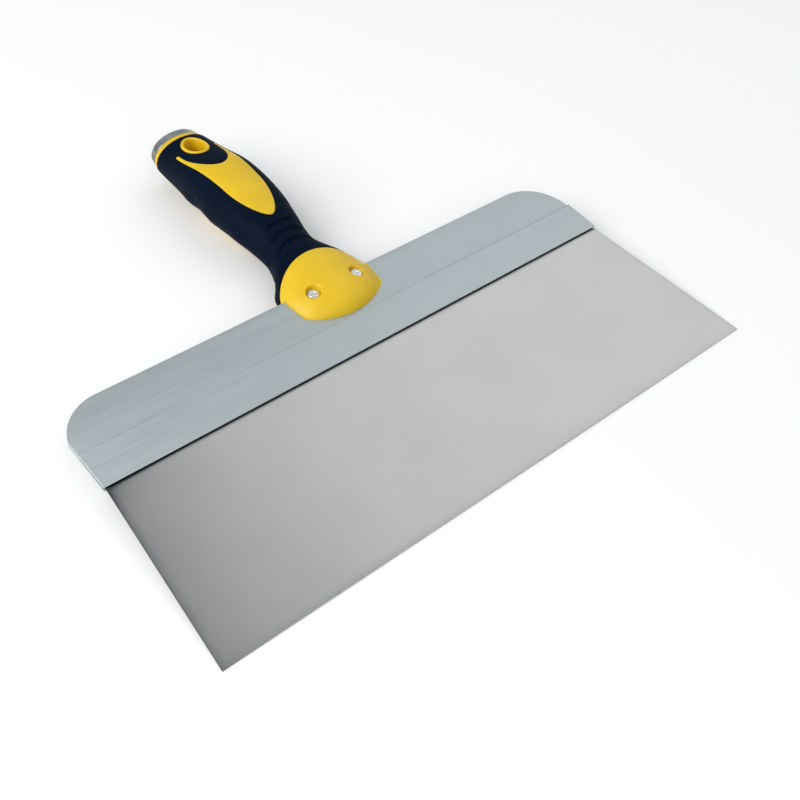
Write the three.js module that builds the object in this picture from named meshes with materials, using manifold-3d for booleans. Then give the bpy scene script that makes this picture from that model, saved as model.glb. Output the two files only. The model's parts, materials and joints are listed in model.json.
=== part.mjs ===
// Drywall taping knife: a flared steel blade held in an aluminium backing strip, with a two-colour
// moulded handle riveted over the strip and a pressed steel striking cap on its butt.
//
// Millimetres. The knife is drawn flat: X along the strip, Y from the strip's top edge up the handle,
// Z out of the front face, Z = 0 on the front of the strip. The finished group then lies on its back
// on a bench at Z = 0, touching it with the blade's working edge and the back of the collar.

import * as THREE from 'three';
import { mergeVertices } from 'three/addons/utils/BufferGeometryUtils.js';
import Module from 'manifold-3d';

const wasm = await Module();
wasm.setup();

// Clearance left between two pieces that touch on the real knife.
const GAP = 0.3;
// A cutter reaches this far past the faces that it cuts.
const PAST = 1;

// Backing strip: an aluminium channel with a solid upper flange and a slot for the blade.
const STRIP_WIDTH = 290;
const STRIP_HEIGHT = 43;
const STRIP_THICKNESS = 3;
const STRIP_MIDDLE_Z = -STRIP_THICKNESS / 2;
const FLANGE_HEIGHT = 23.4;
// The flange's round corners stand a little to the left of the strip's lower part: the right one is
// set in from the strip's end, and the left one is cut off by it.
const FLANGE_RIGHT_X = 143.7;
const FLANGE_LEFT_X = -146.1;
const FLANGE_CORNER_RADIUS = 23;
const GROOVE_WIDTH = 0.9;
const GROOVE_DEPTH = 0.3;

// Blade: a sheet that flares from the strip to its working edge.
const BLADE_THICKNESS = 0.5;
const BLADE_EDGE_WIDTH = 305;
const BLADE_STRIP_WIDTH = 288.6;
const BLADE_TOP_Y = -26;
const BLADE_EDGE_Y = -134;
const SLOT_DEPTH = STRIP_HEIGHT + BLADE_TOP_Y + GAP;

// Outer form of the handle. Each station is a superellipse across the Y axis, with its widest line at
// its own height: [y, half width, front z, back z, widest z, squareness].
const HANDLE_STATIONS = [
  [-23, 21.6, 1.6, -4.6, -1.5, 2.4],
  [-20, 22.2, 4.3, -7.3, -1.5, 2.3],
  [-14, 23.3, 6.6, -9.6, -1.6, 2.2],
  [-6, 24.7, 7.9, -11.6, -3.0, 2.1],
  [2, 25.6, 7.8, -13.4, -5.4, 2.0],
  [12, 20.6, 7.6, -14.0, -3.8, 2.2],
  [24, 14.1, 7.0, -13.9, -3.4, 2.2],
  [31, 13.8, 7.7, -13.1, -2.7, 2.1],
  [42, 15.4, 10.0, -12.3, -1.1, 2.2],
  [56, 17.7, 11.8, -12.3, -0.3, 2.4],
  [72, 18.4, 12.9, -13.2, -0.2, 2.5],
  [87, 18.3, 11.7, -14.4, -1.4, 2.5],
  [103, 17.0, 7.8, -15.6, -4.6, 2.4],
  [120, 15.9, 4.8, -17.3, -7.2, 2.1],
  [130, 14.2, 3.4, -16.4, -7.4, 2.1],
];
// The stations' columns.
const WIDTH = 1;
const FRONT = 2;
const BACK = 3;
const WIDEST = 4;
const SQUARENESS = 5;
const SECTION_SIDES = 28;
const ROW_PITCH = 6;

// Soft grip: an overmoulded sleeve that ends just above the strip.
const GRIP_START_Y = 0.8;
const GRIP_END_Y = 120;
const GRIP_THICKNESS = 3;

// Collar shields of the core, front and back: an elliptic arch over a shallow bottom arc.
const SHIELD_ARCH_Y = -3.6;
const SHIELD_ARCH_HALF_WIDTH = 26;
const SHIELD_ARCH_HEIGHT = 19.5;
const SHIELD_CORNER_X = 23.6;
const SHIELD_CORNER_Y = -14;
const SHIELD_BOTTOM_Y = -22.6;
const SHIELD_CORNER_ROUND = 3.4;

// Leaf-shaped panel of the core, showing through the grip front and back.
const LEAF_TIP_Y = 43.2;
const LEAF_TOP_Y = 108;
const LEAF_HALF_WIDTH = 12.3;
const LEAF_BAY_Y = 104.2;
const LEAF_BAY_HALF_WIDTH = 10.6;
const LEAF_BAY_DEPTH = 18.9;

// Hang hole with its raised oval eyelet.
const HOLE_Y = 108.5;
const HOLE_HALF_WIDTH = 4.9;
const HOLE_HALF_LENGTH = 6.7;
const EYELET_WALL = 1.8;
const EYELET_RAISE = 0.5;

// Rivets through shields and strip.
const RIVET_X = 12.7;
const RIVET_Y = -6.2;
const RIVET_SHANK_RADIUS = 2;
const RIVET_HEAD_RADIUS = 3;
const RIVET_HEAD_HEIGHT = 1;
const RIVET_HEAD_TOP = 5;
const RIVET_DIMPLE_RADIUS = 0.8;
const RIVET_DIMPLE_DEPTH = 0.3;
const RECESS_RADIUS = 3.85;
const ROUND_SIDES = 20;

// Butt: a flange of the core, then the cap as a domed cup over the core's spigot.
const FLANGE_END_Y = 122.8;
const BUTT_INSET = 0.5;
const CAP_SKIRT_END_Y = 127;
const CAP_DOME_HEIGHT = 3.5;
const CAP_WALL = 1.2;
const CAP_DOME_STEPS = 5;
const SPIGOT_END_Y = CAP_SKIRT_END_Y - GAP;

const COLOUR_STEEL = 0xb9bcbb;
const COLOUR_ALUMINIUM = 0xb0b8bb;
const COLOUR_YELLOW = 0xe8bb22;
const COLOUR_NAVY = 0x101f30;
const COLOUR_CAP = 0x9a9b99;
const COLOUR_RIVET = 0xd4d2cc;

// ---- solids -------------------------------------------------------------------------------------

// A closed three.js geometry as a solid that can be joined and cut.
function solid(geometry) {
  const bare = geometry.index ? geometry : mergeVertices(geometry);
  bare.deleteAttribute('normal');
  bare.deleteAttribute('uv');
  const welded = mergeVertices(bare, 1e-4);
  const mesh = new wasm.Mesh({
    numProp: 3,
    vertProperties: new Float32Array(welded.attributes.position.array),
    triVerts: new Uint32Array(welded.index.array),
  });
  return new wasm.Manifold(mesh);
}

function toGeometry(body) {
  const mesh = body.getMesh();
  const geometry = new THREE.BufferGeometry();
  geometry.setAttribute('position', new THREE.BufferAttribute(new Float32Array(mesh.vertProperties), 3));
  geometry.setIndex(new THREE.BufferAttribute(new Uint32Array(mesh.triVerts), 1));
  geometry.computeVertexNormals();
  return geometry;
}

// A flat outline extruded from z = low to z = high.
function plate(shape, low, high, curveSegments = ROUND_SIDES / 2) {
  const geometry = new THREE.ExtrudeGeometry(shape, {
    depth: high - low,
    bevelEnabled: false,
    curveSegments,
  });
  return solid(geometry.translate(0, 0, low));
}

function box(x0, x1, y0, y1, z0, z1) {
  const geometry = new THREE.BoxGeometry(x1 - x0, y1 - y0, z1 - z0);
  return solid(geometry.translate((x0 + x1) / 2, (y0 + y1) / 2, (z0 + z1) / 2));
}

// A round bar along Z.
function bar(x, y, radius, z0, z1) {
  const geometry = new THREE.CylinderGeometry(radius, radius, z1 - z0, ROUND_SIDES);
  return solid(geometry.rotateX(Math.PI / 2).translate(x, y, (z0 + z1) / 2));
}

// ---- handle form --------------------------------------------------------------------------------

// Smooth curve through one column of the stations, with the slope at each station taken from its
// neighbours.
function alongHandle(y, column) {
  const rows = HANDLE_STATIONS;
  const last = rows.length - 1;
  let i = 0;
  while (i < last - 1 && y > rows[i + 1][0]) {
    i += 1;
  }
  const slope = (k) => {
    const a = rows[Math.max(k - 1, 0)];
    const b = rows[Math.min(k + 1, last)];
    return (b[column] - a[column]) / (b[0] - a[0]);
  };
  const span = rows[i + 1][0] - rows[i][0];
  const t = THREE.MathUtils.clamp((y - rows[i][0]) / span, 0, 1);
  const start = rows[i][column] * (2 * t ** 3 - 3 * t ** 2 + 1) + slope(i) * span * (t ** 3 - 2 * t ** 2 + t);
  const end = rows[i + 1][column] * (3 * t ** 2 - 2 * t ** 3) + slope(i + 1) * span * (t ** 3 - t ** 2);
  return start + end;
}

// The point of the handle's section at y, at an angle from the front, on a surface that lies
// `inset` inside the outer form.
function sectionPoint(y, angle, inset) {
  const sine = Math.sin(angle);
  const cosine = Math.cos(angle);
  const halfWidth = alongHandle(y, WIDTH) - inset;
  const widest = alongHandle(y, WIDEST);
  const depth = Math.abs(alongHandle(y, cosine > 0 ? FRONT : BACK) - widest) - inset;
  const power = 2 / alongHandle(y, SQUARENESS);
  return new THREE.Vector3(
    halfWidth * Math.sign(sine) * Math.abs(sine) ** power,
    y,
    widest + depth * Math.sign(cosine) * Math.abs(cosine) ** power,
  );
}

// A closed body between y0 and y1 that follows the handle's form. insetAt gives the inset at each y.
function handleBody(y0, y1, insetAt, rows = Math.ceil((y1 - y0) / ROW_PITCH)) {
  const geometry = new THREE.CylinderGeometry(1, 1, 1, SECTION_SIDES, rows);
  const place = geometry.attributes.position;
  const point = new THREE.Vector3();
  for (let i = 0; i < place.count; i += 1) {
    point.fromBufferAttribute(place, i);
    const y = THREE.MathUtils.lerp(y0, y1, point.y + 0.5);
    if (Math.hypot(point.x, point.z) > 0.5) {
      point.copy(sectionPoint(y, Math.atan2(point.x, point.z), insetAt(y)));
    } else {
      point.set(0, y, alongHandle(y, WIDEST));
    }
    place.setXYZ(i, point.x, point.y, point.z);
  }
  return solid(geometry);
}

// ---- outlines -----------------------------------------------------------------------------------

function ovalOutline(y, halfWidth, halfLength) {
  const shape = new THREE.Shape();
  shape.absellipse(0, y, halfWidth, halfLength, 0, 2 * Math.PI);
  return shape;
}

// The shield seen from the front, grown all round by `grow`, with its lower corners rounded.
function shieldOutline(grow) {
  const cornerX = SHIELD_CORNER_X + grow;
  const cornerY = SHIELD_CORNER_Y - grow / 2;
  const bottomY = SHIELD_BOTTOM_Y - grow;
  const archHalf = SHIELD_ARCH_HALF_WIDTH + grow;
  const drop = cornerY - bottomY;
  const radius = (cornerX ** 2 + drop ** 2) / (2 * drop);
  const halfAngle = Math.asin(cornerX / radius) - SHIELD_CORNER_ROUND / radius;
  const share = SHIELD_CORNER_ROUND / Math.hypot(archHalf - cornerX, SHIELD_ARCH_Y - cornerY);
  const sideX = THREE.MathUtils.lerp(cornerX, archHalf, share);
  const sideY = THREE.MathUtils.lerp(cornerY, SHIELD_ARCH_Y, share);
  const arcX = radius * Math.sin(halfAngle);
  const arcY = bottomY + radius * (1 - Math.cos(halfAngle));
  const shape = new THREE.Shape();
  shape.absellipse(0, SHIELD_ARCH_Y, archHalf, SHIELD_ARCH_HEIGHT + grow, 0, Math.PI);
  shape.lineTo(-sideX, sideY);
  shape.quadraticCurveTo(-cornerX, cornerY, -arcX, arcY);
  shape.absarc(0, bottomY + radius, radius, -Math.PI / 2 - halfAngle, -Math.PI / 2 + halfAngle);
  shape.quadraticCurveTo(cornerX, cornerY, sideX, sideY);
  shape.closePath();
  return shape;
}

// The leaf seen from the front, grown by `grow`: a rounded tip towards the blade, and two fingers
// that run up either side of a bay below the hang hole.
function leafOutline(grow) {
  const half = LEAF_HALF_WIDTH + grow;
  const tip = LEAF_TIP_Y - grow;
  const top = LEAF_TOP_Y + grow;
  const bay = LEAF_BAY_HALF_WIDTH - grow;
  const bayDepth = LEAF_BAY_DEPTH - grow;
  const shape = new THREE.Shape();
  shape.moveTo(0, tip);
  shape.bezierCurveTo(half * 0.36, tip, half * 0.87, tip + 14, half * 0.87, tip + 26);
  shape.bezierCurveTo(half * 0.94, tip + 39, half, top - 14, half * 0.98, top);
  shape.lineTo(bay, top);
  shape.absellipse(0, LEAF_BAY_Y, bay, bayDepth, 0, -Math.PI, true);
  shape.lineTo(-bay, top);
  shape.lineTo(-half * 0.98, top);
  shape.bezierCurveTo(-half, top - 14, -half * 0.94, tip + 39, -half * 0.87, tip + 26);
  shape.bezierCurveTo(-half * 0.87, tip + 14, -half * 0.36, tip, 0, tip);
  return shape;
}

// The part of the handle's outer form that lies inside an outline, on the front (side = 1) or the
// back (side = -1), from `depth` outside the strip's middle plane outwards.
function faceInsert(outline, inset, side, depth) {
  const near = STRIP_MIDDLE_Z + side * depth;
  const far = STRIP_MIDDLE_Z + side * 30;
  const column = plate(outline, Math.min(near, far), Math.max(near, far));
  const form = handleBody(HANDLE_STATIONS[0][0], GRIP_END_Y, () => inset);
  return form.intersect(column);
}

// ---- pieces -------------------------------------------------------------------------------------

function makeBlade() {
  const edge = BLADE_EDGE_WIDTH / 2;
  const held = BLADE_STRIP_WIDTH / 2;
  const shape = new THREE.Shape();
  shape.moveTo(-edge, BLADE_EDGE_Y);
  shape.lineTo(edge, BLADE_EDGE_Y);
  shape.lineTo(held, -STRIP_HEIGHT);
  shape.lineTo(held, BLADE_TOP_Y);
  shape.lineTo(-held, BLADE_TOP_Y);
  shape.lineTo(-held, -STRIP_HEIGHT);
  const half = BLADE_THICKNESS / 2;
  return plate(shape, STRIP_MIDDLE_Z - half, STRIP_MIDDLE_Z + half);
}

function stripOutline() {
  const half = STRIP_WIDTH / 2;
  const radius = FLANGE_CORNER_RADIUS;
  const leftCentre = FLANGE_LEFT_X + radius;
  const shape = new THREE.Shape();
  shape.moveTo(-half, -STRIP_HEIGHT);
  shape.lineTo(half, -STRIP_HEIGHT);
  shape.lineTo(half, -FLANGE_HEIGHT);
  shape.lineTo(FLANGE_RIGHT_X, -FLANGE_HEIGHT);
  shape.absarc(FLANGE_RIGHT_X - radius, -radius, radius, 0, Math.PI / 2);
  shape.absarc(leftCentre, -radius, radius, Math.PI / 2, Math.acos((-half - leftCentre) / radius));
  return shape;
}

function makeStrip() {
  const reach = STRIP_WIDTH / 2 + PAST;
  const slotHalf = BLADE_THICKNESS / 2 + GAP;
  const slot = box(
    -reach, reach,
    -STRIP_HEIGHT - PAST, -STRIP_HEIGHT + SLOT_DEPTH,
    STRIP_MIDDLE_Z - slotHalf, STRIP_MIDDLE_Z + slotHalf,
  );
  const groove = box(
    -reach, reach,
    -FLANGE_HEIGHT - GROOVE_WIDTH, -FLANGE_HEIGHT,
    -GROOVE_DEPTH, PAST,
  );
  let strip = plate(stripOutline(), -STRIP_THICKNESS, 0).subtract(slot).subtract(groove);
  for (const side of [-1, 1]) {
    const hole = bar(side * RIVET_X, RIVET_Y, RIVET_SHANK_RADIUS + GAP, -STRIP_THICKNESS - PAST, PAST);
    strip = strip.subtract(hole);
  }
  return strip;
}

// The steel cap: a cup over the spigot with a low dome for striking.
function capForm(y0, skirtEnd, dome, inset) {
  const rows = CAP_DOME_STEPS + 1;
  const end = skirtEnd + dome;
  const body = handleBody(y0, end, (y) => {
    const rise = THREE.MathUtils.clamp((y - skirtEnd) / dome, 0, 1);
    return inset + (1 - Math.sqrt(1 - 0.96 * rise ** 2)) * 7;
  }, rows);
  return body;
}

function makeCap() {
  const outer = capForm(FLANGE_END_Y + GAP, CAP_SKIRT_END_Y, CAP_DOME_HEIGHT, BUTT_INSET);
  const bore = handleBody(FLANGE_END_Y - PAST, CAP_SKIRT_END_Y, () => BUTT_INSET + CAP_WALL);
  return outer.subtract(bore);
}

function makeCore() {
  // The body under the grip, the flange at the butt and the spigot inside the cap.
  let core = handleBody(GRIP_START_Y, GRIP_END_Y + GAP, () => GRIP_THICKNESS);
  core = core.add(handleBody(GRIP_END_Y + GAP, FLANGE_END_Y, () => BUTT_INSET));
  core = core.add(handleBody(FLANGE_END_Y - PAST, SPIGOT_END_Y, () => BUTT_INSET + CAP_WALL + GAP));

  // Everything that shows through the grip, on both faces.
  for (const side of [-1, 1]) {
    core = core.add(faceInsert(shieldOutline(0), 0, side, STRIP_THICKNESS / 2 + GAP));
    core = core.add(faceInsert(leafOutline(0), 0, side, STRIP_THICKNESS / 2));
    const eyelet = ovalOutline(HOLE_Y, HOLE_HALF_WIDTH + EYELET_WALL, HOLE_HALF_LENGTH + EYELET_WALL);
    core = core.add(faceInsert(eyelet, -EYELET_RAISE, side, 0));
  }

  // The fork that holds the strip, the hang hole and the rivets' holes.
  const reach = SHIELD_ARCH_HALF_WIDTH + PAST;
  core = core.subtract(box(
    -reach, reach, SHIELD_BOTTOM_Y - PAST, GAP, -STRIP_THICKNESS - GAP, GAP,
  ));
  core = core.subtract(plate(ovalOutline(HOLE_Y, HOLE_HALF_WIDTH, HOLE_HALF_LENGTH), -30, 30));
  const seat = RIVET_HEAD_TOP - RIVET_HEAD_HEIGHT - GAP;
  for (const side of [-1, 1]) {
    const x = side * RIVET_X;
    core = core.subtract(bar(x, RIVET_Y, RIVET_SHANK_RADIUS + GAP, -30, 30));
    core = core.subtract(bar(x, RIVET_Y, RECESS_RADIUS, seat, 30));
    core = core.subtract(bar(x, RIVET_Y, RECESS_RADIUS, -30, -STRIP_THICKNESS - seat));
  }
  return core;
}

function makeGrip() {
  let grip = handleBody(GRIP_START_Y, GRIP_END_Y, () => 0);
  grip = grip.subtract(handleBody(GRIP_START_Y - PAST, GRIP_END_Y + PAST, () => GRIP_THICKNESS - GAP));
  const eyelet = ovalOutline(
    HOLE_Y, HOLE_HALF_WIDTH + EYELET_WALL + GAP, HOLE_HALF_LENGTH + EYELET_WALL + GAP,
  );
  for (const side of [-1, 1]) {
    grip = grip.subtract(faceInsert(shieldOutline(GAP), -PAST, side, STRIP_THICKNESS / 2));
    grip = grip.subtract(faceInsert(leafOutline(GAP), -PAST, side, STRIP_THICKNESS / 2));
  }
  return grip.subtract(plate(eyelet, -30, 30));
}

// One rivet along Z, turned as a single profile with a dimpled dome at either end.
function makeRivet(x) {
  const half = RIVET_HEAD_TOP + STRIP_THICKNESS / 2;
  const under = half - RIVET_HEAD_HEIGHT;
  const rim = half - RIVET_HEAD_HEIGHT * 0.45;
  const upper = [
    [RIVET_SHANK_RADIUS, under],
    [RIVET_HEAD_RADIUS, under],
    [RIVET_HEAD_RADIUS, rim],
    [RIVET_HEAD_RADIUS * 0.75, half - 0.1],
    [RIVET_DIMPLE_RADIUS * 1.5, half],
    [RIVET_DIMPLE_RADIUS, half - RIVET_DIMPLE_DEPTH],
    [0, half - RIVET_DIMPLE_DEPTH],
  ];
  const lower = upper.map(([radius, height]) => [radius, -height]).reverse();
  const profile = [...lower, ...upper].map(([radius, height]) => new THREE.Vector2(radius, height));
  const geometry = new THREE.LatheGeometry(profile, ROUND_SIDES);
  return solid(geometry.rotateX(Math.PI / 2).translate(x, RIVET_Y, STRIP_MIDDLE_Z));
}

// ---- assembly -----------------------------------------------------------------------------------

function piece(name, body, color, roughness, metalness) {
  const material = new THREE.MeshStandardMaterial({ color, roughness, metalness });
  const mesh = new THREE.Mesh(toGeometry(body), material);
  mesh.name = name;
  return mesh;
}

const flat = new THREE.Group();
flat.add(
  piece('blade', makeBlade(), COLOUR_STEEL, 0.35, 1),
  piece('backing_strip', makeStrip(), COLOUR_ALUMINIUM, 0.5, 1),
  piece('handle_core', makeCore(), COLOUR_YELLOW, 0.45, 0),
  piece('soft_grip', makeGrip(), COLOUR_NAVY, 0.7, 0),
  piece('rivet_left', makeRivet(-RIVET_X), COLOUR_RIVET, 0.3, 1),
  piece('rivet_right', makeRivet(RIVET_X), COLOUR_RIVET, 0.3, 1),
  piece('butt_cap', makeCap(), COLOUR_CAP, 0.25, 1),
);

// Lay the knife on its back. It rests on the back of the working edge and on whichever point of the
// handle's back stands lowest from there, so the tilt is the steepest slope from the edge to any point.
const bladeBackZ = STRIP_MIDDLE_Z - BLADE_THICKNESS / 2;
let restTilt = 0;
for (const mesh of flat.children) {
  const place = mesh.geometry.attributes.position;
  for (let i = 0; i < place.count; i += 1) {
    const slope = Math.atan2(bladeBackZ - place.getZ(i), place.getY(i) - BLADE_EDGE_Y);
    restTilt = Math.max(restTilt, place.getY(i) > BLADE_EDGE_Y / 2 ? slope : 0);
  }
}
flat.rotation.x = restTilt;

// The origin is on the bench, under the middle of the knife's plan.
const knife = new THREE.Group();
knife.add(flat);
knife.updateMatrixWorld(true);
const extent = new THREE.Box3().setFromObject(flat, true);
flat.position.set(0, -(extent.min.y + extent.max.y) / 2, -extent.min.z);
knife.updateMatrixWorld(true);

export default knife;
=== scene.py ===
"""Looks of the drywall taping knife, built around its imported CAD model.

Pieces are drawn in millimetres in the knife's own flat frame, as in the CAD: X along the strip, Y from
the strip's top edge up the handle, Z out of the front face, with Z = 0 on the front of the strip. Each
finished mesh is then laid on the bench in metres, tilted as the CAD model lies. Materials, which work in
object space, use metres on the bench.
"""
import json
import math

import bmesh
import bpy
import numpy as np
from mathutils import Matrix, Vector
from mathutils.geometry import delaunay_2d_cdt


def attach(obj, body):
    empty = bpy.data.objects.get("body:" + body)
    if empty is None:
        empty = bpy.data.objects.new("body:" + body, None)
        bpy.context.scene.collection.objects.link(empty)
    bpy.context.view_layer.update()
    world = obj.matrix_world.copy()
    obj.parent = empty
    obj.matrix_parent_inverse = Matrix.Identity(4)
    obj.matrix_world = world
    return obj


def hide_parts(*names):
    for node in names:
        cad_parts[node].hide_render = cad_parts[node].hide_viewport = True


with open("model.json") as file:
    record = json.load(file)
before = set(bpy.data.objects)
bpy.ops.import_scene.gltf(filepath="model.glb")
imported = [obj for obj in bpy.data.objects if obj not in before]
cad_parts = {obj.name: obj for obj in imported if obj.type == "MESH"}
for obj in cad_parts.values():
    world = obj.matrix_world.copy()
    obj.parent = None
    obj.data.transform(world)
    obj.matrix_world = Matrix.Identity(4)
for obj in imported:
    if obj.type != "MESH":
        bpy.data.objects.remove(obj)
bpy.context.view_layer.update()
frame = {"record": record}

MM = 0.001

# Backing strip and blade.
STRIP_WIDTH = 290
STRIP_HEIGHT = 43
STRIP_THICKNESS = 3
MIDDLE_Z = -STRIP_THICKNESS / 2
FLANGE_HEIGHT = 23.4
FLANGE_RIGHT_X = 143.7
FLANGE_LEFT_X = -146.1
FLANGE_CORNER_RADIUS = 23
BLADE_THICKNESS = 0.5
BLADE_FRONT_Z = MIDDLE_Z + BLADE_THICKNESS / 2
BLADE_EDGE_WIDTH = 305
BLADE_STRIP_WIDTH = 288.6
BLADE_TOP_Y = -26
BLADE_EDGE_Y = -133.95
BLADE_BOW = 0.6
BLADE_THINNING = 0.35
BLADE_BEVEL = 0.11
BLADE_ROWS = 34
BLADE_COLUMNS = 97
SLOT_TOP_Y = -25.7
SLOT_CLEARANCE = 0.06
STRIP_TOP_Y = 0.1
STRIP_RIM = ((0.2, 0), (0.09, 0.03), (0.03, 0.09), (0, 0.2))  # inset, depth below the face
SCRIBE_Y = -FLANGE_HEIGHT - 0.3
SCRIBE = (  # y from the line's middle, z
    (-0.30, 0.2), (-0.19, -0.05), (0, -0.19), (0.19, -0.05), (0.30, 0.2),
)

# The point of the blade's front face that the record gives as a mount.
BLADE_FACE_POINT = (0, -90, BLADE_FRONT_Z)

# Outer form of the handle: [y, half width, front z, back z, widest z, squareness]. The collar is rounded
# over towards the shield's bottom arc.
HANDLE_STATIONS = np.array([
    [-23, 22.0, 8.1, -10.6, -1.5, 2.2],
    [-14, 23.3, 8.1, -11.0, -1.6, 2.2],
    [-6, 24.7, 8.1, -12.0, -3.0, 2.1],
    [2, 25.6, 7.8, -13.37, -5.4, 2.0],
    [12, 20.6, 7.6, -13.97, -3.8, 2.2],
    [24, 14.1, 7.0, -13.9, -3.4, 2.2],
    [31, 13.8, 7.7, -13.1, -2.7, 2.1],
    [42, 15.4, 10.0, -12.3, -1.1, 2.2],
    [56, 17.7, 11.8, -12.3, -0.3, 2.4],
    [72, 18.4, 12.84, -13.2, -0.2, 2.5],
    [87, 18.3, 11.7, -14.4, -1.4, 2.5],
    [103, 17.0, 7.8, -15.6, -4.6, 2.4],
    [120, 15.9, 4.8, -17.3, -7.2, 2.1],
    [130, 14.2, 3.4, -16.4, -7.4, 2.1],
])
WIDTH, FRONT, BACK, WIDEST, SQUARENESS = range(1, 6)
COLLAR_ROUND = 17
COLLAR_POWER = 2.2

# Soft grip. A groove is (y in the middle, reach to the side, drop at the reach), and a wave is
# (y, width, depth).
GRIP_START_Y = 0.12
GRIP_END_Y = 120
GRIP_THICKNESS = 3
GRIP_END_STEPS = np.array([0, 0.08, 0.25, 0.55, 0.95])
GRIP_END_ROUND = 0.8
GRIP_PITCH = 0.36
SEAM = 0.12
SEAM_ROUND = 0.55
THUMB_GROOVES = ((38.1, 8.8, 1.0), (32.8, 10, 2.4), (26.6, 12, 4.0))
GROOVE_HALF_WIDTH = 1.3
GROOVE_DEPTH = 1.25
GROOVE_FADE = 3.5
FLANK_WAVES = (
    (90, 4.5, -0.42), (80, 3.8, 0.45), (69, 4.2, -0.44), (56, 4.5, 0.30),
    (24.5, 3.2, -0.40), (15, 3.0, 0.85), (8, 3.0, -0.80),
)

# Collar shields, leaf panel, hang hole.
SHIELD_ARCH_Y = -3.6
SHIELD_ARCH_HALF_WIDTH = 26
SHIELD_ARCH_HEIGHT = 19.5
SHIELD_CORNER = (23.6, -14)
SHIELD_BOTTOM_Y = -22.6
SHIELD_CORNER_ROUND = 2.4
SHIELD_WRAP_Z = -4.5
SHIELD_FACE_GAP = 0.02
SHIELD_LIP = 0.12
SHIELD_INSET = 0.16
SHIELD_WIDTH_SHARE = 0.992
LEAF_TIP_Y = 43.2
LEAF_TOP_Y = 108
LEAF_HALF_WIDTH = 12.3
LEAF_BAY_Y = 104.2
LEAF_BAY = (10.6, 18.9)
HOLE_Y = 108.5
HOLE_SIZE = (4.9, 6.7)
EYELET_WALL = 1.8
EYELET_SIZE = (HOLE_SIZE[0] + EYELET_WALL, HOLE_SIZE[1] + EYELET_WALL)
EYELET_RAISE = 0.5
EYELET_ROUND = 0.8
EYELET_STEPS = (0, 0.03, 0.1, 0.22, 0.4, 0.65, 0.95, 1.3, 1.7, 2.2, 3.2)
HOLE_FLARE = (  # depth below the eyelet's face, growth of the bore
    (-3, 1.6), (-0.4, 1.2), (0.0, 0.72), (0.15, 0.46), (0.4, 0.22), (0.75, 0.06), (1.2, 0),
)

# Outlines and inserts: the spacing of their points, and the distances inside the outline where points
# crowd.
OUTLINE_PITCH = 0.5
INSERT_PITCH = 0.7
INSERT_ROUND = 0.45
INSERT_STEPS = (0.05, 0.13, 0.24, 0.4, 0.62, 0.95, 1.4)
SHIELD_STEPS = (0.04, 0.1, 0.18, 0.3, 0.46, 0.68, 0.95, 1.3, 1.75, 2.3)
LEAF_BASE = 4

# Rivets.
RIVET_X = 12.7
RIVET_Y = -6.2
RIVET_SHANK_RADIUS = 2
RIVET_BORE_RADIUS = RIVET_SHANK_RADIUS + 0.1
RIVET_HEAD_TOP = 5
RIVET_HEAD_HEIGHT = 1.0
RIVET_HEAD_SIDE = (  # radius, height over the head's underside
    (RIVET_SHANK_RADIUS, 0), (2.85, 0), (2.97, 0.08), (3.0, 0.25), (2.97, 0.45), (2.8, 0.68),
    (2.45, 0.85), (2.0, 0.95),
)
RIVET_HEAD_DIMPLE = (  # radius, depth below the head's top
    (1.55, 0), (1.15, 0.02), (0.95, 0.12), (0.85, 0.3), (0.6, 0.42), (0.2, 0.46),
)
RECESS_FLOOR = ((RIVET_BORE_RADIUS, 0), (3.2, 0), (3.4, 0.08), (3.5, 0.3))  # radius, height
RECESS_DEPTH = 1.05
RECESS_MOUTH = (  # radius, depth below the dome
    (3.6, 0.75), (3.68, 0.42), (3.84, 0.18), (4.1, 0.05), (4.5, -0.02), (5.4, -3),
)

# Cutters for the collar's slot and the grip's windows reach this far, past the handle's surface.
SLOT_REACH = 30
WINDOW_REACH = 40

# Butt flange and cap.
FLANGE_START_Y = 120.12
FLANGE_END_Y = 122.8
FLANGE_STEPS = np.array([0, 0.08, 0.25, 0.5])
BUTT_INSET = 0.5
CAP_START_Y = FLANGE_END_Y + 0.12
CAP_LIP_STEPS = np.array([0, 0.06, 0.18, 0.4])
CAP_LIP_ROUND = 0.35
CAP_SKIRT = np.array([1.0, 1.8])
CAP_SKIRT_END_Y = 127
CAP_DOME_START_Y = CAP_SKIRT_END_Y - 0.4
CAP_END_Y = 130.5
CAP_DOME_REACH = 9.5
CAP_DOME_POWER = 2.2
CAP_WALL = 1.2
SPIGOT_CLEARANCE = 0.15
SPIGOT_END_Y = CAP_SKIRT_END_Y - 0.3


def lying_matrix():
    """Flat frame in millimetres to the bench in metres, from the blade's front face in the record."""
    face = next(m for m in frame["record"]["mounts"] if m["name"] == "blade_front_face")
    tilt = math.atan2(-face["axis"][1], face["axis"][2])
    rotation = Matrix.Rotation(tilt, 4, "X") @ Matrix.Scale(MM, 4)
    return Matrix.Translation(Vector(face["pos_m"]) - rotation @ Vector(BLADE_FACE_POINT)) @ rotation


LIE = lying_matrix()


# ---- meshes -------------------------------------------------------------------------------------

def new_object(name, vertices, faces):
    mesh = bpy.data.meshes.new(name)
    mesh.from_pydata([tuple(v) for v in vertices], [], [tuple(f) for f in faces])
    mesh.validate()
    obj = bpy.data.objects.new(name, mesh)
    bpy.context.scene.collection.objects.link(obj)
    return obj


def combine(target, cutter, operation):
    """Join or cut target with cutter, which is used up."""
    modifier = target.modifiers.new("combine", "BOOLEAN")
    modifier.operation = operation
    modifier.solver = "MANIFOLD"
    modifier.object = cutter
    settle(target)
    bpy.data.objects.remove(cutter)
    return target


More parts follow.
